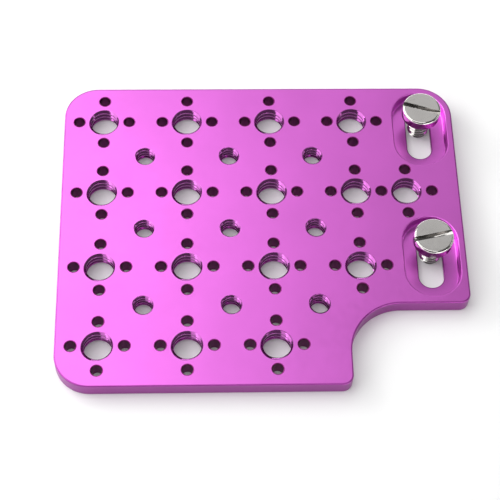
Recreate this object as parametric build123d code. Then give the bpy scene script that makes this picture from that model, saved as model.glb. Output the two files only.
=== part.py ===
from build123d import *
import os

os.makedirs("parts", exist_ok=True)

# All sizes are in millimetres. The plate lies flat on z = 0 with its outline centred on the origin.
# X runs along the rows of threaded holes, towards the wing, and Y runs from the front edge to the back.

# Field of threaded holes
grid_pitch = 25.0
grid_columns = 4
grid_rows = 4

# Plate blank, measured outwards from the outermost holes
plate_thickness = 5.0
side_margin = 12.0
back_margin = 12.2
front_margin = 12.4
wing_margin = 15.7
notch_margin = 20.9
corner_radius = 10.0
notch_fillet = 15.0
small_corner_radius = 3.0
edge_break = 0.3

# Tapped holes at their tap drill sizes: 3/8-16 on the grid and 1/4-20 between its holes
large_tap_drill = 7.94
small_tap_drill = 5.11
mouth_chamfer = 0.4

# Plain holes for locating pins, four round each large thread
pin_hole_diameter = 3.2
pin_circle = 15.0
spur_row = 1

# Mounting screws, standing on their points in the slots
screw_length = 12.0
shank_diameter = 6.35
point_chamfer = 0.7
head_diameter = 11.5
head_height = 3.4
head_rounding = 0.7
head_lower_chamfer = 0.25
driver_slot_width = 1.4
driver_slot_depth = 1.9
driver_saw_radius = 14.0
rear_driver_angle = -18.0
front_driver_angle = 12.0

# Counterbored slots that the screws pass through, and the room that each leaves its screw
slot_run = 10.0
recess_wall = 2.1
shank_clearance = 0.5
head_clearance = 2.25
head_sink = 0.1
screw_offset = 2.7
end_clearance = 0.1

# How far each cutter runs past the faces it cuts
overcut = 1.0

# Places that follow from the sizes above
plate_length = side_margin + (grid_columns - 1) * grid_pitch + pin_circle + wing_margin
plate_width = back_margin + (grid_rows - 1) * grid_pitch + front_margin
left = -plate_length / 2
right = plate_length / 2
back = plate_width / 2
front = -plate_width / 2


def column_x(column):
    """X of a column of large threads, counted from the side away from the wing."""
    return left + side_margin + column * grid_pitch


def row_y(row):
    """Y of a row of large threads, counted from the back edge."""
    return back - back_margin - row * grid_pitch


notch_x = column_x(grid_columns - 2) + notch_margin
wing_front = row_y(grid_rows - 2) - front_margin
spur_x = column_x(grid_columns - 1) + pin_circle
slot_width = shank_diameter + 2 * shank_clearance
recess_width = head_diameter + 2 * head_clearance
recess_depth = head_height + head_sink
slot_x = right - recess_wall - recess_width / 2
rear_slot_y = back - recess_wall - (recess_width + slot_run) / 2
front_slot_y = 2 * row_y(spur_row) - rear_slot_y


def large_thread_places():
    """Centres of the large threads: the grid without the corner that the notch takes, and one on the wing."""
    places = []
    for row in range(grid_rows):
        for column in range(grid_columns):
            if (column, row) != (grid_columns - 1, grid_rows - 1):
                places.append(Vector(column_x(column), row_y(row)))
    places.append(Vector(spur_x, row_y(spur_row)))
    return places


def small_thread_places():
    """Centres of the small threads, each in the middle of four places of the grid."""
    half = grid_pitch / 2
    places = []
    for row in range(grid_rows - 1):
        for column in range(grid_columns - 1):
            places.append(Vector(column_x(column) + half, row_y(row) - half))
    return places


def pin_places():
    """Centres of the pin holes, four round each large thread. Two threads that share a pin hole get it once."""
    reach = pin_circle / 2
    places = []
    for thread in large_thread_places():
        for step in (Vector(reach, 0), Vector(0, reach), Vector(-reach, 0), Vector(0, -reach)):
            place = thread + step
            if all((place - other).length > pin_hole_diameter for other in places):
                places.append(place)
    return places


def plate_blank():
    """The flat blank: a square field with a wing beside its back rows, its corners rounded and rims broken."""
    with BuildPart() as blank:
        with BuildSketch() as plan:
            with BuildLine():
                Polyline(
                    (left, back),
                    (right, back),
                    (right, wing_front),
                    (notch_x, wing_front),
                    (notch_x, front),
                    (left, front),
                    close=True,
                )
            make_face()
            rounded = [
                ((left, back), corner_radius),
                ((right, back), corner_radius),
                ((left, front), corner_radius),
                ((notch_x, wing_front), notch_fillet),
                ((right, wing_front), small_corner_radius),
                ((notch_x, front), small_corner_radius),
            ]
            for corner, radius in rounded:
                fillet(plan.vertices().sort_by_distance(corner)[0], radius)
        extrude(amount=plate_thickness)
        rims = blank.faces().filter_by(Axis.Z).edges()
        chamfer(rims, edge_break)
    return blank.part


def tapped_hole(tap_drill):
    """Cutter for a tapped hole: the tap drill's bore with a small chamfer at both faces."""
    bore = tap_drill / 2
    mouth = bore + mouth_chamfer
    with BuildPart() as cutter:
        with BuildSketch(Plane.XZ):
            with BuildLine():
                Polyline(
                    (0, -overcut),
                    (mouth, -overcut),
                    (mouth, 0),
                    (bore, mouth_chamfer),
                    (bore, plate_thickness - mouth_chamfer),
                    (mouth, plate_thickness),
                    (mouth, plate_thickness + overcut),
                    (0, plate_thickness + overcut),
                    close=True,
                )
            make_face()
        revolve(axis=Axis.Z)
    return cutter.part


def pin_hole():
    """Cutter for a plain hole through the plate."""
    height = plate_thickness + 2 * overcut
    return Pos(0, 0, plate_thickness / 2) * Cylinder(pin_hole_diameter / 2, height)


def counterbored_slot():
    """Cutter for a slot along Y that is counterbored from the top, with the recess's rim broken."""
    web = plate_thickness - recess_depth
    with BuildPart() as cutter:
        with BuildSketch(Plane.XY.offset(-overcut)):
            SlotCenterToCenter(slot_run, slot_width, rotation=90)
        extrude(amount=web + 2 * overcut)
        with BuildSketch(Plane.XY.offset(web)):
            SlotCenterToCenter(slot_run, recess_width, rotation=90)
        extrude(amount=recess_depth + overcut)
        with BuildSketch(Plane.XY.offset(plate_thickness - edge_break)):
            SlotCenterToCenter(slot_run, recess_width, rotation=90)
        extrude(amount=edge_break + overcut, taper=-45)
    return cutter.part


def plate():
    """The machined plate: the blank with its tapped holes, pin holes and counterbored slots."""
    large = tapped_hole(large_tap_drill)
    small = tapped_hole(small_tap_drill)
    pin = pin_hole()
    slot = counterbored_slot()
    cutters = [Pos(place) * large for place in large_thread_places()]
    cutters += [Pos(place) * small for place in small_thread_places()]
    cutters += [Pos(place) * pin for place in pin_places()]
    cutters += [Pos(slot_x, y, 0) * slot for y in (rear_slot_y, front_slot_y)]
    return plate_blank() - cutters


def driver_saw(angle):
    """Disc of the slitting saw that cuts the driver slot, standing across the head, deepest in its middle."""
    disc = Cylinder(driver_saw_radius, driver_slot_width, rotation=(90, 0, 0))
    return Pos(0, 0, screw_length - driver_slot_depth + driver_saw_radius) * Rot(0, 0, angle) * disc


def mounting_screw(driver_angle):
    """A cheese-head screw standing on its point: a turned profile with a sawn driver slot across the head."""
    head = head_diameter / 2
    shank = shank_diameter / 2
    head_base = screw_length - head_height
    with BuildPart() as screw:
        with BuildSketch(Plane.XZ):
            with BuildLine():
                Polyline(
                    (0, 0),
                    (shank - point_chamfer, 0),
                    (shank, point_chamfer),
                    (shank, head_base),
                    (head - head_lower_chamfer, head_base),
                    (head, head_base + head_lower_chamfer),
                    (head, screw_length),
                    (0, screw_length),
                    close=True,
                )
            make_face()
        revolve(axis=Axis.Z)
        fillet(screw.faces().sort_by(Axis.Z)[-1].edges(), head_rounding)
    return screw.part - driver_saw(driver_angle)


def rear_screw():
    """The screw in the slot by the back edge."""
    return Pos(slot_x, rear_slot_y + screw_offset, 0) * mounting_screw(rear_driver_angle)


def front_screw():
    """The screw in the slot by the notch."""
    return Pos(slot_x, front_slot_y + screw_offset, 0) * mounting_screw(front_driver_angle)


# Each screw slides along its slot until its shank is this far from the middle of the slot
travel = (slot_run + slot_width - shank_diameter) / 2 - end_clearance
print(f"plate {plate_length:.2f} x {plate_width:.2f} x {plate_thickness:.2f}")
print(f"slide range of each screw {-travel - screw_offset:.2f} to {travel - screw_offset:.2f}")
print(f"slot centres ({slot_x:.3f}, {rear_slot_y:.3f}) and ({slot_x:.3f}, {front_slot_y:.3f})")
print(f"first hole ({column_x(0):.3f}, {row_y(0):.3f})")

export_step(plate(), "parts/plate.step")
export_step(rear_screw(), "parts/rear_screw.step")
export_step(front_screw(), "parts/front_screw.step")
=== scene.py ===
from collections import namedtuple
from math import ceil, cos, pi, radians, sin, tan

import bmesh
import bpy
from mathutils import Matrix, Vector
from mathutils.geometry import delaunay_2d_cdt


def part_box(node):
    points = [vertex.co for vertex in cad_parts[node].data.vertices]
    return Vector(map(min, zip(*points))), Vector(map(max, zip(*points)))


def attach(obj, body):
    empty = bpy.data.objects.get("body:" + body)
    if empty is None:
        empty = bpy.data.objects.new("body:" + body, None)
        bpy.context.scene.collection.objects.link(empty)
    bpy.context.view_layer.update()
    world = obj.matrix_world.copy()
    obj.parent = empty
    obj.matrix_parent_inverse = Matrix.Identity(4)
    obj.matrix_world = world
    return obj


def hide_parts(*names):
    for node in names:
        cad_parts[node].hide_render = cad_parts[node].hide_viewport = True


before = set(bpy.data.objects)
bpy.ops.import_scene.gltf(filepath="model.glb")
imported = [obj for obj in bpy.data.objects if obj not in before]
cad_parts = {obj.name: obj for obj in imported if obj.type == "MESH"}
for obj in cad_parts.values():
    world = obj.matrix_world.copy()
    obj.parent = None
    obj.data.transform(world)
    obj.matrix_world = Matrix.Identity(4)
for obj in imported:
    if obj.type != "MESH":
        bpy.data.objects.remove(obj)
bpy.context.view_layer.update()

# Sizes here are in millimetres, and MM turns them into Blender's metres
MM = 0.001

# Field of threaded holes
GRID_PITCH = 25.0
GRID_COLUMNS = 4
GRID_ROWS = 4
PIN_CIRCLE = 15.0

# Plan of the plate, measured outwards from the outermost holes
SIDE_MARGIN = 12.0
BACK_MARGIN = 12.2
FRONT_MARGIN = 12.4
NOTCH_MARGIN = 20.9
CORNER_RADIUS = 10.0
NOTCH_FILLET = 15.0
SMALL_CORNER_RADIUS = 3.0
EDGE_ROUNDING = 0.3

# Threads, of 60 degrees, rounded a little at every corner
Thread = namedtuple("Thread", "groove crest groove_width pitch steps")
THREAD_HALF_ANGLE = radians(30)
THREAD_SOFTENING = 0.05
LARGE_PITCH = 25.4 / 16
SMALL_PITCH = 25.4 / 20

# Tapped holes, 3/8-16 and 1/4-20, and the directions in which their grooves run out of the top face
LARGE_THREAD = Thread(9.525 / 2, 7.94 / 2, LARGE_PITCH / 8, LARGE_PITCH, 64)
SMALL_THREAD = Thread(6.35 / 2, 5.11 / 2, SMALL_PITCH / 8, SMALL_PITCH, 48)
LARGE_RUNOUT = radians(225)
SMALL_RUNOUT = radians(120)
MOUTH_CHAMFER = 0.4

# Plain pin holes
PIN_DIAMETER = 3.2
PIN_ROUNDING = 0.12

# Counterbored slots
SLOT_RUN = 10.0
SLOT_WIDTH = 7.35
SLOT_ROUNDING = 0.12
RECESS_WIDTH = 16.0
RECESS_WALL = 2.1
RECESS_DEPTH = 3.5
RECESS_RIM = 0.3
RECESS_FLOOR_RADIUS = 0.35

# Mounting screws
SCREW_THREAD = Thread(4.79 / 2, 6.35 / 2, SMALL_PITCH / 6, SMALL_PITCH, 96)
POINT_CHAMFER = 0.7
NECK_LENGTH = 1.0
HEAD_DIAMETER = 11.5
HEAD_HEIGHT = 3.4
HEAD_ROUNDING = 0.7
HEAD_LOWER_CHAMFER = 0.25
NECK_RADIUS = 0.2
DRIVER_SLOT_WIDTH = 1.4
DRIVER_SLOT_DEPTH = 1.9
DRIVER_SAW_RADIUS = 14.0
REAR_DRIVER_ANGLE = radians(-18)
FRONT_DRIVER_ANGLE = radians(12)
SCREW_EDGE_BEVEL = 0.05

# Finishes of the plate: dye with painted light and shade, least and greatest roughness, strength of the
# grain, and clear layer. The blasted faces have the plain dye. The others have it darkened as painted shade,
# and the milled recess has it lightened as painted light.
FinishAndShade = namedtuple("FinishAndShade", "name dye smoothest roughest grain clearness")
BLASTED = FinishAndShade("blasted_and_anodised", (0.60, 0.130, 0.57), 0.31, 0.36, 0.25, 0.15)
# Threads: the dye darkened as painted shade inside the holes
TAPPED_WITH_PAINTED_SHADE = FinishAndShade("tapped_anodised_painted_shade", (0.38, 0.070, 0.36), 0.11, 0.15, 0.04, 1.0)
# Pin holes: the dye much darkened as painted shade inside the holes
DRILLED_WITH_PAINTED_SHADE = FinishAndShade("drilled_anodised_painted_shade", (0.19, 0.018, 0.14), 0.35, 0.45, 0.10, 0.1)
# Recess: the dye a little lighter, as painted light
MILLED_WITH_PAINTED_LIGHT = FinishAndShade("milled_anodised_painted_light", (0.66, 0.142, 0.63), 0.30, 0.34, 0.03, 0.15)
# Outer and slot walls: the dye darkened as painted shade
PROFILED_WITH_PAINTED_SHADE = FinishAndShade("profiled_anodised_painted_shade", (0.335, 0.058, 0.315), 0.33, 0.38, 0.05, 0.1)
FINISHES_AND_SHADES = [BLASTED, TAPPED_WITH_PAINTED_SHADE, DRILLED_WITH_PAINTED_SHADE, MILLED_WITH_PAINTED_LIGHT, PROFILED_WITH_PAINTED_SHADE]
DYE_SPREAD = 1.07

# Bright nickel-plated steel of the screws: tones, least and greatest roughness, and strength of the grain
STEEL_TONES = [(0.48, 0.465, 0.45), (0.53, 0.515, 0.50)]
STEEL_ROUGHNESS = [0.09, 0.13]
STEEL_GRAIN = 0.3

# Noise textures, in cells per metre, the heights of the grain, and the range that most noise values are in
DYE_CELLS = 60
GLOSS_CELLS = 900
BLASTING_CELLS = 5200
BLASTING_HEIGHT = 0.006
STEEL_TONE_CELLS = 150
STEEL_GLOSS_CELLS = 700
TURNING_CELLS = 2500
TURNING_STRETCH = (1, 1, 4)
TURNING_HEIGHT = 0.002
NOISE_RANGE = [0.3, 0.7]

# Fineness of the meshes
SUPPORT = 0.15
ARC_STEPS_PER_MM = 2
FEWEST_ARC_STEPS = 8
PIN_STEPS = 28
SLOT_STEPS = 64
ROUNDING_STEPS = 3
HEAD_ROUNDING_STEPS = 8
SAW_STEPS = 256
MERGE_DISTANCE = 0.001
SHARP_ANGLE = radians(35)

# Camera, as it stood over the plate
LENS = 104.12
SENSOR_WIDTH = 36.0
CAMERA_PLACE = (-17.22, -212.11, 368.31)
CAMERA_ELEVATION = radians(60.526)
CAMERA_AZIMUTH = radians(3.757)
CAMERA_ROLL = radians(2.850)

# White paper under the plate. It glows a little to the camera and in reflections, and more where the lamps
# don't reach.
FLOOR_REACH = 4000.0
FLOOR_DROP = 0.05
PAPER_TONE = 0.80
LIT_FLOOR_RADIUS = 250.0
DIM_FLOOR_RADIUS = 800.0
LIT_FLOOR_GLOW = 0.11
DIM_FLOOR_GLOW = 0.90

# Black card round the camera, which the backs of the tapped holes mirror
CARD_PLACE = (-30.0, -310.0, 530.0)
CARD_WIDTH = 440.0
CARD_HEIGHT = 400.0
CARD_TONE = 0.02

# Lamps, each by its direction and distance from the plate, its size, and its brightness in a mirror. The one
# at the back left lights the right flanks of the threads. No strong lamp stands where the left flanks mirror
# it, so they stay dark.
Lamp = namedtuple("Lamp", "name azimuth elevation distance width height radiance")
LAMPS = [
    Lamp("main_lamp", 148, 54, 700, 750, 600, 1.95),
    Lamp("back_left_lamp", 147, 26, 600, 400, 140, 9.0),
    Lamp("left_lamp", 193, 30, 650, 700, 450, 2.0),
    Lamp("front_left_lamp", 232, 20, 800, 550, 300, 1.2),
    Lamp("low_front_lamp", 275, 10, 900, 1200, 220, 2.2),
    Lamp("low_back_lamp", 84, 11, 750, 900, 180, 3.4),
    Lamp("front_right_lamp", -52, 9, 750, 700, 200, 4.2),
    Lamp("right_strip_lamp", 15, 30, 460, 300, 70, 2.4),
    Lamp("back_lamp", 85, 45, 800, 500, 500, 0.7),
    Lamp("top_lamp", 90, 90, 900, 500, 400, 2.4),
]
ROOM_LIGHT = 0.15

plate_low, plate_high = (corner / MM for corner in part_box("plate"))
LEFT, FRONT, UNDERSIDE = plate_low
RIGHT, BACK, TOP = plate_high


def column_x(column):
    """X of a column of large threads, counted from the side away from the wing."""
    return LEFT + SIDE_MARGIN + column * GRID_PITCH


def row_y(row):
    """Y of a row of large threads, counted from the back edge."""
    return BACK - BACK_MARGIN - row * GRID_PITCH


SPUR_ROW = 1
NOTCH_X = column_x(GRID_COLUMNS - 2) + NOTCH_MARGIN
WING_FRONT = row_y(GRID_ROWS - 2) - FRONT_MARGIN
SLOT_X = RIGHT - RECESS_WALL - RECESS_WIDTH / 2
REAR_SLOT_Y = BACK - RECESS_WALL - (RECESS_WIDTH + SLOT_RUN) / 2
FRONT_SLOT_Y = 2 * row_y(SPUR_ROW) - REAR_SLOT_Y


def large_thread_places():
    """Centres of the large threads: the grid without the notch's corner, and one on the wing."""
    missing = (GRID_COLUMNS - 1, GRID_ROWS - 1)
    grid = [(column, row) for row in range(GRID_ROWS) for column in range(GRID_COLUMNS)]
    places = [Vector((column_x(c), row_y(r))) for c, r in grid if (c, r) != missing]
    places.append(Vector((column_x(GRID_COLUMNS - 1) + PIN_CIRCLE, row_y(SPUR_ROW))))
    return places


def small_thread_places():
    """Centres of the small threads, each in the middle of four places of the grid."""
    half = GRID_PITCH / 2
    grid = [(column, row) for row in range(GRID_ROWS - 1) for column in range(GRID_COLUMNS - 1)]
    return [Vector((column_x(c) + half, row_y(r) - half)) for c, r in grid]


def pin_places():
    """Centres of the pin holes, four round each large thread, with shared ones once."""
    reach = PIN_CIRCLE / 2
    places = []
    for thread in large_thread_places():
        for step in ((reach, 0), (0, reach), (-reach, 0), (0, -reach)):
            place = thread + Vector(step)
            if all((place - other).length > PIN_DIAMETER for other in places):
                places.append(place)
    return places


class MeshMaker:
    """Collects points and faces in millimetres, and makes one mesh of them."""

    def __init__(self):
        self.points = []
        self.faces = []
        self.finish_and_shade_starts = []

    def set_finish_and_shade(self, finish_and_shade):
        """Gives the faces that are added from now on one of the plate's finishes, with its painted light and
        shade.
        """
        self.finish_and_shade_starts.append((len(self.faces), FINISHES_AND_SHADES.index(finish_and_shade)))

    def ring(self, plan, z):
        """Adds a ring of points at one height and returns their numbers."""
        start = len(self.points)
        self.points += [(p[0], p[1], z) for p in plan]
        return list(range(start, len(self.points)))

    def strip(self, first, second):
        """Joins two closed rings with the same number of points."""
        count = len(first)
        for i in range(count):
            j = (i + 1) % count
            self.faces.append((first[i], first[j], second[j], second[i]))

    def sweep(self, plan_at, profile):
        """Joins the rings that plan_at gives for each (offset, height) of a profile."""
        rings = [self.ring(plan_at(offset), z) for offset, z in profile]
        for first, second in zip(rings, rings[1:]):
            self.strip(first, second)

    def flat(self, z, outline, holes):
        """Fills a level face between an outline and the holes in it."""
        plans = [outline] + [hole.plan for hole in holes]
        points = [Vector((p[0], p[1])) for plan in plans for p in plan]
        edges = []
        start = 0
        for plan in plans:
            count = len(plan)
            edges += [(start + i, start + (i + 1) % count) for i in range(count)]
            start += count
        corners, _, triangles, *_ = delaunay_2d_cdt(points, edges, [], 1, MERGE_DISTANCE / 10)
        numbers = self.ring(corners, z)
        for triangle in triangles:
            middle = sum((corners[i] for i in triangle), Vector((0, 0))) / len(triangle)
            if not any(hole.holds(middle) for hole in holes):
                self.faces.append(tuple(numbers[i] for i in triangle))

    def finished(self, name):
        """Makes the object in metres, with merged points, outward faces and smooth shading."""
        mesh = bpy.data.meshes.new(name)
        mesh.from_pydata([Vector(p) * MM for p in self.points], [], self.faces)
        for start, material in self.finish_and_shade_starts:
            for polygon in mesh.polygons[start:]:
                polygon.material_index = material
        work = bmesh.new()
        work.from_mesh(mesh)
        bmesh.ops.remove_doubles(work, verts=work.verts, dist=MERGE_DISTANCE * MM)
        bmesh.ops.recalc_face_normals(work, faces=work.faces)
        work.to_mesh(mesh)
        work.free()
        mesh.shade_smooth()
        mesh.set_sharp_from_angle(angle=SHARP_ANGLE)
        piece = bpy.data.objects.new(name, mesh)
        bpy.context.scene.collection.objects.link(piece)
        return piece


class Opening:
    """The outline of a hole where it meets a level face."""

    def __init__(self, plan):
        self.plan = [Vector(p) for p in plan]
        self.middle = sum(self.plan, Vector((0, 0))) / len(self.plan)
        self.reach = max((p - self.middle).length for p in self.plan)

    def holds(self, point):
        """Whether a point is inside the outline."""
        if (point - self.middle).length > self.reach:
            return False
        inside = False
        for first, second in zip(self.plan, self.plan[1:] + self.plan[:1]):
            if (first.y > point.y) != (second.y > point.y):
                share = (point.y - first.y) / (second.y - first.y)
                if point.x < first.x + share * (second.x - first.x):
                    inside = not inside
        return inside


def circle_plan(place, radius, steps):
    """Points of a circle."""
    turns = [2 * pi * i / steps for i in range(steps)]
    return [(place[0] + radius * cos(a), place[1] + radius * sin(a)) for a in turns]


def slot_plan(place, radius, run, steps):
    """Points of a slot's outline along Y, with support points next to its round ends."""
    half_steps = steps // 2
    points = []
    for start, end_y, away in ((0, run / 2, -1), (pi, -run / 2, 1)):
        turns = [start + pi * i / half_steps for i in range(half_steps + 1)]
        arc = [(radius * cos(a), end_y + radius * sin(a)) for a in turns]
        inner = end_y + away * SUPPORT
        points += [(arc[0][0], inner)] + arc + [(arc[-1][0], inner)]
    return [(place[0] + x, place[1] + y) for x, y in points]


def outline_plan(inset):
    """The plate's outline, pushed into the material, with arcs and support points at its corners."""
    corners = [
        ((LEFT, BACK), CORNER_RADIUS),
        ((LEFT, FRONT), CORNER_RADIUS),
        ((NOTCH_X, FRONT), SMALL_CORNER_RADIUS),
        ((NOTCH_X, WING_FRONT), NOTCH_FILLET),
        ((RIGHT, WING_FRONT), SMALL_CORNER_RADIUS),
        ((RIGHT, BACK), CORNER_RADIUS),
    ]
    points = []
    for i, (corner, radius) in enumerate(corners):
        here = Vector(corner)
        arriving = (here - Vector(corners[i - 1][0])).normalized()
        leaving = (Vector(corners[(i + 1) % len(corners)][0]) - here).normalized()
        centre = here + (leaving - arriving) * radius
        reach = radius - arriving.cross(leaving) * inset
        steps = max(FEWEST_ARC_STEPS, round(radius * ARC_STEPS_PER_MM))
        turns = [pi / 2 * step / steps for step in range(steps + 1)]
        arc = [centre + (arriving * sin(a) - leaving * cos(a)) * reach for a in turns]
        points += [arc[0] - arriving * SUPPORT] + arc + [arc[-1] + leaving * SUPPORT]
    return points


def rounded_edge(radius):
    """Offset into the material and drop below the face, from the face to the wall."""
    turns = [pi / 2 * i / ROUNDING_STEPS for i in range(ROUNDING_STEPS + 1)]
    edge = [(radius * (1 - sin(a)), radius * (1 - cos(a))) for a in turns]
    return [(radius + SUPPORT, 0)] + edge + [(0, radius + SUPPORT)]


def through_wall(radius, top, bottom):
    """Offsets and heights of a wall between two faces, with both its edges rounded."""
    edge = rounded_edge(radius)
    upper = [(offset, top - drop) for offset, drop in edge]
    lower = [(offset, bottom + drop) for offset, drop in reversed(edge)]
    return upper + lower


def recess_profile():
    """Offsets from the recess's wall and heights, from the top face to the recess's floor."""
    floor = TOP - RECESS_DEPTH
    edge = [(offset, TOP - drop) for offset, drop in rounded_edge(RECESS_RIM)]
    turns = [pi / 2 * i / ROUNDING_STEPS for i in range(ROUNDING_STEPS + 1)]
    radius = RECESS_FLOOR_RADIUS
    corner = [(-radius * (1 - cos(a)), floor + radius * (1 - sin(a))) for a in turns]
    above = (0, floor + radius + SUPPORT)
    beyond = (-radius - SUPPORT, floor)
    return edge + [above] + corner + [beyond]


def counterbored_slot(maker, place):
    """Walls and floor of one counterbored slot."""
    def plan_at(radius):
        return slot_plan(place, radius, SLOT_RUN, SLOT_STEPS)

    recess = [(RECESS_WIDTH / 2 + offset, z) for offset, z in recess_profile()]
    wall = through_wall(SLOT_ROUNDING, TOP - RECESS_DEPTH, UNDERSIDE)
    slot = [(SLOT_WIDTH / 2 + offset, z) for offset, z in wall]
    maker.set_finish_and_shade(MILLED_WITH_PAINTED_LIGHT)
    maker.sweep(plan_at, recess + slot[:1])
    maker.set_finish_and_shade(PROFILED_WITH_PAINTED_SHADE)
    maker.sweep(plan_at, slot)


def counterbored_slots(maker, places):
    """Both slots. Returns their openings in the underside and in the top."""
    slot_mouth = SLOT_WIDTH / 2 + SLOT_ROUNDING + SUPPORT
    recess_mouth = RECESS_WIDTH / 2 + RECESS_RIM + SUPPORT
    for place in places:
        counterbored_slot(maker, place)
    below = [Opening(slot_plan(place, slot_mouth, SLOT_RUN, SLOT_STEPS)) for place in places]
    above = [Opening(slot_plan(place, recess_mouth, SLOT_RUN, SLOT_STEPS)) for place in places]
    return below, above


def pin_hole(maker, place):
    """Wall of one pin hole. Returns its opening, which is the same in both faces."""
    def plan_at(radius):
        return circle_plan(place, radius, PIN_STEPS)

    radius = PIN_DIAMETER / 2
    wall = through_wall(PIN_ROUNDING, TOP, UNDERSIDE)
    maker.sweep(plan_at, [(radius + offset, z) for offset, z in wall])
    return Opening(plan_at(radius + PIN_ROUNDING + SUPPORT))


def soften(corners, pitch):
    """Replaces each corner of a repeating profile by a point on each of its two sides."""
    softened = []
    for i, corner in enumerate(corners):
        here = Vector(corner)
        before = Vector(corners[i - 1]) - Vector((pitch, 0) if i == 0 else (0, 0))
        after = Vector(corners[(i + 1) % len(corners)])
        after += Vector((pitch, 0) if i == len(corners) - 1 else (0, 0))
        for other in (before, after):
            softened.append(here + (other - here).normalized() * THREAD_SOFTENING)
    return softened


def thread_profile(thread):
    """One turn of a thread, as (height, radius) points from the middle of its groove up."""
    half = thread.groove_width / 2
    flank = abs(thread.groove - thread.crest) * tan(THREAD_HALF_ANGLE)
    corners = [
        (half, thread.groove),
        (half + flank, thread.crest),
        (thread.pitch - half - flank, thread.crest),
        (thread.pitch - half, thread.groove),
    ]
    return soften(corners, thread.pitch)


def radius_at(column, height):
    """Radius at one height of a column of (height, radius) points."""
    for (z, radius), (next_z, next_radius) in zip(column, column[1:]):
        if z <= height <= next_z:
            return radius + (next_radius - radius) * (height - z) / (next_z - z)


def cut_off(column, bottom, top):
    """Moves the points of a thread's column that are past either end to where the column meets that end."""
    low = (bottom, radius_at(column, bottom))
    high = (top, radius_at(column, top))
    return [low if z < bottom else high if z > top else (z, radius) for z, radius in column]


def chamfered(column, cone, side):
    """Moves the points of a thread's column that are on the wrong side of a cone onto it.

    The cone gives its radius at each height. Side is 1 to keep what is outside it, and -1 what is inside.
    """
    spares = [side * (radius - cone(z)) for z, radius in column]
    cut = []
    for i, (z, radius) in enumerate(column):
        kept = [j for j in (i - 1, i + 1) if 0 <= j < len(column) and spares[j] > 0]
        if spares[i] < 0 and kept:
            other_z, other_radius = column[kept[0]]
            share = spares[i] / (spares[i] - spares[kept[0]])
            z += (other_z - z) * share
            radius += (other_radius - radius) * share
        elif spares[i] < 0:
            radius = cone(z)
        cut.append((z, radius))
    return cut


def thread_columns(thread, runout, bottom, top, cone, side):
    """Heights and radii of a right-hand thread between two heights, one column for each step round it.

    The runout is the direction in which the middle of the groove reaches the top.
    """
    turn = thread_profile(thread)
    spare = 2
    below = ceil((top - bottom) / thread.pitch) + spare
    rows = [(n * thread.pitch + z, radius) for n in range(-below, spare + 1) for z, radius in turn]
    columns = []
    for step in range(thread.steps):
        rise = top + thread.pitch * (step / thread.steps - runout / (2 * pi))
        column = cut_off([(z + rise, radius) for z, radius in rows], bottom, top)
        columns.append(chamfered(column, cone, side))
    return columns


def around(place, radii):
    """Points round a place, each at its own radius."""
    turns = [2 * pi * i / len(radii) for i in range(len(radii))]
    return [(place[0] + r * cos(a), place[1] + r * sin(a)) for r, a in zip(radii, turns)]


def threaded_wall(maker, place, columns, thread):
    """Wall of a threaded hole or rod. Its last column joins the first one a turn further up."""
    rows_in_turn = len(thread_profile(thread))
    bottom, top = columns[0][0][0], columns[0][-1][0]
    start = len(maker.points)
    height = len(columns[0])
    for i, column in enumerate(columns):
        turned = cos(2 * pi * i / len(columns)), sin(2 * pi * i / len(columns))
        maker.points += [(place[0] + r * turned[0], place[1] + r * turned[1], z) for z, r in column]
    starts = [start + i * height for i in range(len(columns))] + [start + rows_in_turn]
    for here, there in zip(starts, starts[1:]):
        for row in range(height - 1 - rows_in_turn):
            corners = (here + row, there + row, there + row + 1, here + row + 1)
            heights = [maker.points[i][2] for i in corners]
            if max(heights) > bottom and min(heights) < top:
                maker.faces.append(corners)


def tapped_mouth(maker, place, rim, z):
    """Narrow ring of a face round a tapped hole, which keeps the face's shading flat. Returns its outside."""
    outside = around(place, [radius + SUPPORT for radius in rim])
    maker.strip(maker.ring(around(place, rim), z), maker.ring(outside, z))
    return Opening(outside)


def tapped_holes(maker, places, thread, runout):
    """All holes of one thread. Returns their openings in the underside and in the top."""
    def chamfer(z):
        return thread.crest + MOUTH_CHAMFER - min(z - UNDERSIDE, TOP - z)

    columns = thread_columns(thread, runout, UNDERSIDE, TOP, chamfer, 1)
    below, above = [], []
    for place in places:
        threaded_wall(maker, place, columns, thread)
        below.append(tapped_mouth(maker, place, [column[0][1] for column in columns], UNDERSIDE))
        above.append(tapped_mouth(maker, place, [column[-1][1] for column in columns], TOP))
    return below, above


def machined_plate():
    """The whole plate as one closed mesh, with real threads."""
    maker = MeshMaker()
    maker.set_finish_and_shade(TAPPED_WITH_PAINTED_SHADE)
    large_below, large_above = tapped_holes(maker, large_thread_places(), LARGE_THREAD, LARGE_RUNOUT)
    small_below, small_above = tapped_holes(maker, small_thread_places(), SMALL_THREAD, SMALL_RUNOUT)
    maker.set_finish_and_shade(DRILLED_WITH_PAINTED_SHADE)
    pins = [pin_hole(maker, place) for place in pin_places()]
    slot_places = [(SLOT_X, REAR_SLOT_Y), (SLOT_X, FRONT_SLOT_Y)]
    slots_below, slots_above = counterbored_slots(maker, slot_places)
    maker.set_finish_and_shade(PROFILED_WITH_PAINTED_SHADE)
    maker.sweep(outline_plan, through_wall(EDGE_ROUNDING, TOP, UNDERSIDE))
    maker.set_finish_and_shade(BLASTED)
    face_outline = outline_plan(EDGE_ROUNDING + SUPPORT)
    maker.flat(TOP, face_outline, large_above + small_above + pins + slots_above)
    maker.flat(UNDERSIDE, face_outline, large_below + small_below + pins + slots_below)
    return maker.finished("machined_plate")


def apply_modifiers(piece):
    """Replaces a piece's mesh by what its modifiers make of it."""
    evaluated = piece.evaluated_get(bpy.context.evaluated_depsgraph_get())
    mesh = bpy.data.meshes.new_from_object(evaluated)
    piece.modifiers.clear()
    piece.data = mesh


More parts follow.
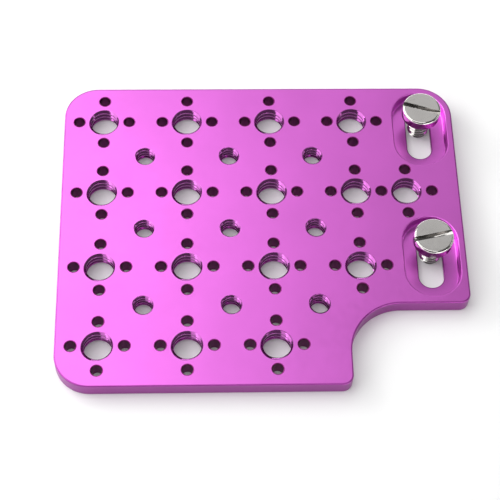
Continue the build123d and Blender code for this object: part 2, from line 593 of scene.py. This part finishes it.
def driver_saw(place, top, angle):
    """The slitting saw that cuts the driver slot, as a thin disc standing across the head."""
    centre_z = top - DRIVER_SLOT_DEPTH + DRIVER_SAW_RADIUS
    disc = bmesh.new()
    bmesh.ops.create_cone(
        disc,
        cap_ends=True,
        segments=SAW_STEPS,
        radius1=DRIVER_SAW_RADIUS * MM,
        radius2=DRIVER_SAW_RADIUS * MM,
        depth=DRIVER_SLOT_WIDTH * MM,
    )
    upright = Matrix.Rotation(angle, 4, "Z") @ Matrix.Rotation(pi / 2, 4, "X")
    disc.transform(Matrix.Translation(Vector((*place, centre_z)) * MM) @ upright)
    mesh = bpy.data.meshes.new("driver_saw")
    disc.to_mesh(mesh)
    disc.free()
    saw = bpy.data.objects.new("driver_saw", mesh)
    bpy.context.scene.collection.objects.link(saw)
    return saw


def head_profile(head_base, top):
    """Radii and heights of the turned screw above its thread, up to the rim of its head's face."""
    head = HEAD_DIAMETER / 2
    neck = SCREW_THREAD.groove
    turns = [pi / 2 * i / ROUNDING_STEPS for i in range(ROUNDING_STEPS + 1)]
    fillet = [
        (neck + NECK_RADIUS * (1 - cos(a)), head_base - NECK_RADIUS * (1 - sin(a))) for a in turns
    ]
    underside = [(head - HEAD_LOWER_CHAMFER, head_base), (head, head_base + HEAD_LOWER_CHAMFER)]
    turns = [pi / 2 * i / HEAD_ROUNDING_STEPS for i in range(HEAD_ROUNDING_STEPS + 1)]
    rim = [
        (head - HEAD_ROUNDING * (1 - cos(a)), top - HEAD_ROUNDING * (1 - sin(a))) for a in turns
    ]
    return fillet + underside + rim


def turned_screw(name, place, bottom, top):
    """A threaded cheese-head screw before its driver slot is cut."""
    foot = SCREW_THREAD.crest - POINT_CHAMFER
    head_base = top - HEAD_HEIGHT
    thread_top = head_base - NECK_LENGTH

    def ends(z):
        return min(foot + z - bottom, SCREW_THREAD.groove + thread_top - z)

    maker = MeshMaker()
    columns = thread_columns(SCREW_THREAD, 0, bottom, thread_top, ends, -1)
    threaded_wall(maker, place, columns, SCREW_THREAD)
    point = maker.ring(around(place, [column[0][1] for column in columns]), bottom)
    rings = [maker.ring(around(place, [column[-1][1] for column in columns]), thread_top)]
    for radius, z in head_profile(head_base, top):
        rings.append(maker.ring(circle_plan(place, radius, SCREW_THREAD.steps), z))
    for first, second in zip(rings, rings[1:]):
        maker.strip(first, second)
    maker.faces += [tuple(reversed(point)), tuple(rings[-1])]
    return maker.finished(name)


def break_edges(piece, above):
    """Bevels the sharp edges of a piece above a height, and evens out its shading."""
    work = bmesh.new()
    work.from_mesh(piece.data)
    sharp = [
        edge
        for edge in work.edges
        if min(v.co.z for v in edge.verts) > above * MM and edge.calc_face_angle(0) > SHARP_ANGLE
    ]
    width = SCREW_EDGE_BEVEL * MM
    bmesh.ops.bevel(work, geom=sharp, offset=width, segments=2, profile=0.5, affect="EDGES")
    work.to_mesh(piece.data)
    work.free()
    piece.data.shade_smooth()
    piece.data.set_sharp_from_angle(angle=SHARP_ANGLE)
    evened = piece.modifiers.new("evened_normals", "WEIGHTED_NORMAL")
    evened.keep_sharp = True
    apply_modifiers(piece)


def mounting_screw(name, node, driver_angle):
    """A slotted cheese-head screw: turned, threaded, slotted with a saw, and with its edges just broken."""
    low, high = (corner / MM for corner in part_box(node))
    place = ((low.x + high.x) / 2, (low.y + high.y) / 2)
    screw = turned_screw(name, place, low.z, high.z)
    saw = driver_saw(place, high.z, driver_angle)
    cut = screw.modifiers.new("driver_slot", "BOOLEAN")
    cut.operation = "DIFFERENCE"
    cut.solver = "EXACT"
    cut.object = saw
    apply_modifiers(screw)
    bpy.data.objects.remove(saw)
    break_edges(screw, high.z - HEAD_HEIGHT + HEAD_LOWER_CHAMFER)
    return screw


def shader_nodes(name):
    """A new material with its node tree and its Principled shader."""
    material = bpy.data.materials.new(name)
    material.use_nodes = True
    tree = material.node_tree
    shader = tree.nodes["Principled BSDF"]
    return material, tree, shader


def noise(tree, scale, detail, stretch=(1, 1, 1)):
    """A noise texture in the object's own coordinates, with scale in cells per metre."""
    place = tree.nodes.new("ShaderNodeTexCoord")
    mapping = tree.nodes.new("ShaderNodeMapping")
    mapping.inputs["Scale"].default_value = stretch
    texture = tree.nodes.new("ShaderNodeTexNoise")
    texture.inputs["Scale"].default_value = scale
    texture.inputs["Detail"].default_value = detail
    tree.links.new(place.outputs["Object"], mapping.inputs["Vector"])
    tree.links.new(mapping.outputs["Vector"], texture.inputs["Vector"])
    return texture.outputs["Fac"]


def spread(tree, value, low, high):
    """Maps a noise value to a range."""
    node = tree.nodes.new("ShaderNodeMapRange")
    node.inputs["From Min"].default_value = NOISE_RANGE[0]
    node.inputs["From Max"].default_value = NOISE_RANGE[1]
    node.inputs["To Min"].default_value = low
    node.inputs["To Max"].default_value = high
    tree.links.new(value, node.inputs["Value"])
    return node.outputs["Result"]


def colour_between(tree, value, first, second):
    """A colour between two, chosen by a noise value."""
    node = tree.nodes.new("ShaderNodeMix")
    node.data_type = "RGBA"
    node.inputs["A"].default_value = (*first, 1)
    node.inputs["B"].default_value = (*second, 1)
    tree.links.new(value, node.inputs["Factor"])
    return node.outputs["Result"]


def bump(tree, shader, value, height, strength):
    """Gives a shader's surface a grain of a height in millimetres."""
    node = tree.nodes.new("ShaderNodeBump")
    node.inputs["Distance"].default_value = height * MM
    node.inputs["Strength"].default_value = strength
    tree.links.new(value, node.inputs["Height"])
    tree.links.new(node.outputs["Normal"], shader.inputs["Normal"])


def anodised_aluminium(finish_and_shade):
    """Anodised and dyed aluminium: a tinted metal under a thin clear layer. The tint carries the painted
    light and shade of each surface.
    """
    material, tree, shader = shader_nodes(finish_and_shade.name)
    shader.inputs["Metallic"].default_value = 1.0
    shader.inputs["Coat Weight"].default_value = finish_and_shade.clearness
    shader.inputs["Coat Roughness"].default_value = finish_and_shade.smoothest
    patches = spread(tree, noise(tree, DYE_CELLS, 3), 0, 1)
    paler = [channel * DYE_SPREAD for channel in finish_and_shade.dye]
    tree.links.new(colour_between(tree, patches, finish_and_shade.dye, paler), shader.inputs["Base Color"])
    roughness = spread(tree, noise(tree, GLOSS_CELLS, 2), finish_and_shade.smoothest, finish_and_shade.roughest)
    tree.links.new(roughness, shader.inputs["Roughness"])
    bump(tree, shader, noise(tree, BLASTING_CELLS, 2), BLASTING_HEIGHT, finish_and_shade.grain)
    return material


def turned_steel():
    """Bright nickel-plated steel, with a fine grain from turning."""
    material, tree, shader = shader_nodes("turned_steel")
    shader.inputs["Metallic"].default_value = 1.0
    patches = spread(tree, noise(tree, STEEL_TONE_CELLS, 3), 0, 1)
    tree.links.new(colour_between(tree, patches, *STEEL_TONES), shader.inputs["Base Color"])
    roughness = spread(tree, noise(tree, STEEL_GLOSS_CELLS, 3), *STEEL_ROUGHNESS)
    tree.links.new(roughness, shader.inputs["Roughness"])
    grain = noise(tree, TURNING_CELLS, 2, TURNING_STRETCH)
    bump(tree, shader, grain, TURNING_HEIGHT, STEEL_GRAIN)
    return material


def matt_paper(name, tone):
    """Paper or card of one grey, without any gloss."""
    material, tree, shader = shader_nodes(name)
    shader.inputs["Base Color"].default_value = (tone, tone, tone, 1)
    shader.inputs["Roughness"].default_value = 1.0
    shader.inputs["Specular IOR Level"].default_value = 0.0
    return material, tree, shader


def seen_directly(tree):
    """1 for what the camera sees, also in reflections and through glass, and 0 for what only lights."""
    path = tree.nodes.new("ShaderNodeLightPath")
    seen = path.outputs["Is Camera Ray"]
    for kind in ("Is Glossy Ray", "Is Transmission Ray"):
        add = tree.nodes.new("ShaderNodeMath")
        add.use_clamp = True
        tree.links.new(seen, add.inputs[0])
        tree.links.new(path.outputs[kind], add.inputs[1])
        seen = add.outputs[0]
    return seen


def floor_glow(tree):
    """Glow of the paper, from near the plate to where the lamps don't reach."""
    place = tree.nodes.new("ShaderNodeTexCoord")
    distance = tree.nodes.new("ShaderNodeVectorMath")
    distance.operation = "LENGTH"
    tree.links.new(place.outputs["Object"], distance.inputs[0])
    glow = tree.nodes.new("ShaderNodeMapRange")
    glow.inputs["From Min"].default_value = LIT_FLOOR_RADIUS * MM
    glow.inputs["From Max"].default_value = DIM_FLOOR_RADIUS * MM
    glow.inputs["To Min"].default_value = LIT_FLOOR_GLOW
    glow.inputs["To Max"].default_value = DIM_FLOOR_GLOW
    tree.links.new(distance.outputs["Value"], glow.inputs["Value"])
    return glow.outputs["Result"]


def studio_floor_material():
    """White paper, which reads as white to the camera and in reflections and keeps the shadow."""
    material, tree, shader = matt_paper("white_paper", PAPER_TONE)
    shader.inputs["Emission Color"].default_value = (1, 1, 1, 1)
    scale = tree.nodes.new("ShaderNodeMath")
    scale.operation = "MULTIPLY"
    tree.links.new(seen_directly(tree), scale.inputs[0])
    tree.links.new(floor_glow(tree), scale.inputs[1])
    tree.links.new(scale.outputs[0], shader.inputs["Emission Strength"])
    return material


def staged_sheet(name, width, height, to_world, material):
    """A flat sheet of the studio, which to_world turns and moves from the middle of the XY plane."""
    mesh = bpy.data.meshes.new(name)
    w, h = width / 2 * MM, height / 2 * MM
    mesh.from_pydata([(-w, -h, 0), (w, -h, 0), (w, h, 0), (-w, h, 0)], [], [(0, 1, 2, 3)])
    mesh.transform(to_world)
    mesh.materials.append(material)
    sheet = bpy.data.objects.new(name, mesh)
    bpy.context.scene.collection.objects.link(sheet)
    return sheet


def studio_floor():
    """The pale floor, a hair below the plate's underside."""
    below = Matrix.Translation((0, 0, -FLOOR_DROP * MM))
    staged_sheet("floor", 2 * FLOOR_REACH, 2 * FLOOR_REACH, below, studio_floor_material())


def camera_shadow_card():
    """The dark round the camera, as a black card that faces the plate and is seen only in reflections."""
    place = Vector(CARD_PLACE) * MM
    facing = place.to_track_quat("Z", "Y").to_matrix().to_4x4()
    material, *_ = matt_paper("black_card", CARD_TONE)
    to_world = Matrix.Translation(place) @ facing
    card = staged_sheet("camera_shadow_card", CARD_WIDTH, CARD_HEIGHT, to_world, material)
    card.visible_camera = False


def softbox(lamp):
    """A rectangular area light that faces the plate."""
    azimuth, elevation = radians(lamp.azimuth), radians(lamp.elevation)
    level = cos(elevation)
    towards = Vector((level * cos(azimuth), level * sin(azimuth), sin(elevation)))
    light = bpy.data.lights.new(lamp.name, "AREA")
    light.shape = "RECTANGLE"
    light.size = lamp.width * MM
    light.size_y = lamp.height * MM
    light.energy = lamp.radiance * pi * light.size * light.size_y
    box = bpy.data.objects.new(lamp.name, light)
    box.location = towards * lamp.distance * MM
    box.rotation_euler = towards.to_track_quat("Z", "Y").to_euler()
    box.visible_camera = False
    bpy.context.scene.collection.objects.link(box)


def studio_light():
    """Soft lamps round the plate, the strongest at the back on the left, in a dim room."""
    for lamp in LAMPS:
        softbox(lamp)
    world = bpy.data.worlds.new("studio")
    world.use_nodes = True
    background = world.node_tree.nodes["Background"]
    background.inputs["Color"].default_value = (1, 1, 1, 1)
    background.inputs["Strength"].default_value = ROOM_LIGHT
    bpy.context.scene.world = world


def studio_camera():
    """The camera where the photographer stood."""
    data = bpy.data.cameras.new("camera")
    data.lens = LENS
    data.sensor_width = SENSOR_WIDTH
    camera = bpy.data.objects.new("camera", data)
    turned = Matrix.Rotation(-CAMERA_AZIMUTH, 4, "Z")
    tipped = Matrix.Rotation(pi / 2 - CAMERA_ELEVATION, 4, "X")
    rolled = Matrix.Rotation(CAMERA_ROLL, 4, "Z")
    place = Matrix.Translation(Vector(CAMERA_PLACE) * MM)
    camera.matrix_world = place @ turned @ tipped @ rolled
    bpy.context.scene.collection.objects.link(camera)
    bpy.context.scene.camera = camera


def dress_plate():
    """Puts the machined plate in place of its plain solid."""
    plate = machined_plate()
    for finish_and_shade in FINISHES_AND_SHADES:
        plate.data.materials.append(anodised_aluminium(finish_and_shade))
    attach(plate, "plate")
    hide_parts("plate")


def dress_screws():
    """Puts the two finished screws in place of their plain solids."""
    steel = turned_steel()
    screws = [
        ("rear_mounting_screw", "rear_screw", REAR_DRIVER_ANGLE),
        ("front_mounting_screw", "front_screw", FRONT_DRIVER_ANGLE),
    ]
    for name, node, angle in screws:
        screw = mounting_screw(name, node, angle)
        screw.data.materials.clear()
        screw.data.materials.append(steel)
        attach(screw, node)
        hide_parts(node)


dress_plate()
dress_screws()
studio_floor()
camera_shadow_card()
studio_light()
studio_camera()
bpy.context.scene.view_settings.view_transform = "Standard"

bpy.context.view_layer.update()
